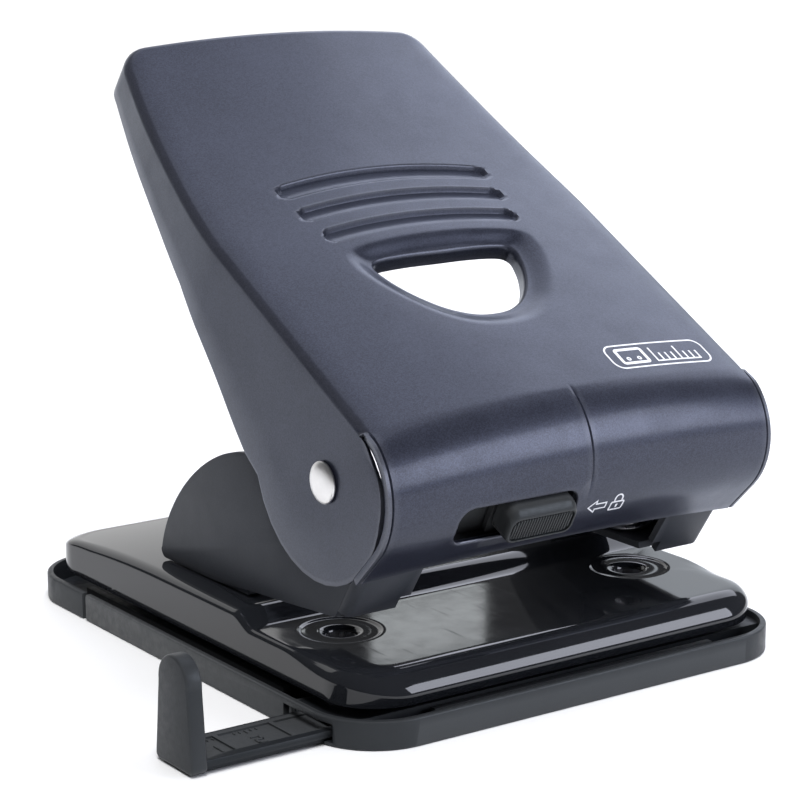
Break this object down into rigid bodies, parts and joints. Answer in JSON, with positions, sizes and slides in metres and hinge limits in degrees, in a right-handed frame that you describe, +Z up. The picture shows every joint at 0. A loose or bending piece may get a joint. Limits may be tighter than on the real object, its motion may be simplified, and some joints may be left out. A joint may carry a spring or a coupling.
{
  "type": "two-hole paper punch",
  "caption": "Lever punch for two filing holes: pressed handle on a hinged base plate, spring-loaded pins, lockable handle, sliding paper guide and a chip tray.",
  "frame": {"origin": "centre of the chip tray's underside, on the surface the punch stands on", "axes": "+X to the right along the paper edge, +Y to the back, towards the handle's free end, +Z up"},
  "size_m": [0.151, 0.1441, 0.133],
  "materials": {
    "handle_paint": "satin metallic grey lacquer",
    "frame_paint": "satin dark grey lacquer",
    "base_enamel": "high-gloss black enamel",
    "dark_plastic": "fine-textured dark grey moulding",
    "lock_plastic": "satin black moulding",
    "plated_steel": "bright zinc plate",
    "tool_steel": "ground and oiled",
    "spring_steel": "drawn wire",
    "nylon": "natural nylon",
    "rubber": "matt black"
  },
  "bodies": {
    "tray": {"chip_tray": "dark_plastic", "rubber_pad_1": "rubber", "rubber_pad_2": "rubber", "rubber_pad_3": "rubber", "rubber_pad_4": "rubber", "tray_hinge_pin": "plated_steel"},
    "base": {"base_plate": "base_enamel", "die_plate": "tool_steel", "frame_left": "frame_paint", "frame_rivet_left_1": "plated_steel", "frame_rivet_left_2": "plated_steel", "guide_plate_left": "frame_paint", "guide_bush_left": "tool_steel", "return_spring_left": "spring_steel", "hinge_clip_left": "plated_steel", "frame_right": "frame_paint", "frame_rivet_right_1": "plated_steel", "frame_rivet_right_2": "plated_steel", "guide_plate_right": "frame_paint", "guide_bush_right": "tool_steel", "return_spring_right": "spring_steel", "hinge_clip_right": "plated_steel"},
    "handle": {"handle_shell": "handle_paint", "press_rod": "plated_steel", "lock_guide": "lock_plastic", "press_bracket_left": "frame_paint", "pivot_rivet_left": "plated_steel", "pivot_washer_left": "nylon", "press_bracket_right": "frame_paint", "pivot_rivet_right": "plated_steel", "pivot_washer_right": "nylon"},
    "punch_left": {"punch_pin_left": "tool_steel", "spring_washer_left": "plated_steel"},
    "punch_right": {"punch_pin_right": "tool_steel", "spring_washer_right": "plated_steel"},
    "lock": {"lock_button": "lock_plastic", "lock_slider": "plated_steel"},
    "guide": {"paper_guide": "dark_plastic"}
  },
  "joints": [
    {"name": "base_hinge", "type": "hinge", "parent": "tray", "child": "base", "pos_m": [0, 0.0626, 0.007], "axis": [-1, 0, 0], "range_deg": [0, 45]},
    {"name": "handle_hinge", "type": "hinge", "parent": "base", "child": "handle", "pos_m": [0, -0.0477, 0.0513], "axis": [-1, 0, 0], "range_deg": [0, 44], "stiffness_Nm_per_rad": 0.6, "springref_deg": -28.65},
    {"name": "punch_left_slide", "type": "slide", "parent": "base", "child": "punch_left", "axis": [0, 0, -1], "range_m": [0, 0.0101], "deforming": ["return_spring_left"]},
    {"name": "punch_right_slide", "type": "slide", "parent": "base", "child": "punch_right", "axis": [0, 0, -1], "range_m": [0, 0.0101], "deforming": ["return_spring_right"]},
    {"name": "lock_slide", "type": "slide", "parent": "handle", "child": "lock", "axis": [-1, 0, 0], "range_m": [0, 0.0105]},
    {"name": "guide_slide", "type": "slide", "parent": "tray", "child": "guide", "axis": [-1, 0, 0], "range_m": [-0.026, 0.06]}
  ],
  "couplings": [
    {"joint": "punch_left_slide", "follows": "handle_hinge", "m_per_rad": 0.013087},
    {"joint": "punch_right_slide", "follows": "handle_hinge", "m_per_rad": 0.013087}
  ]
}
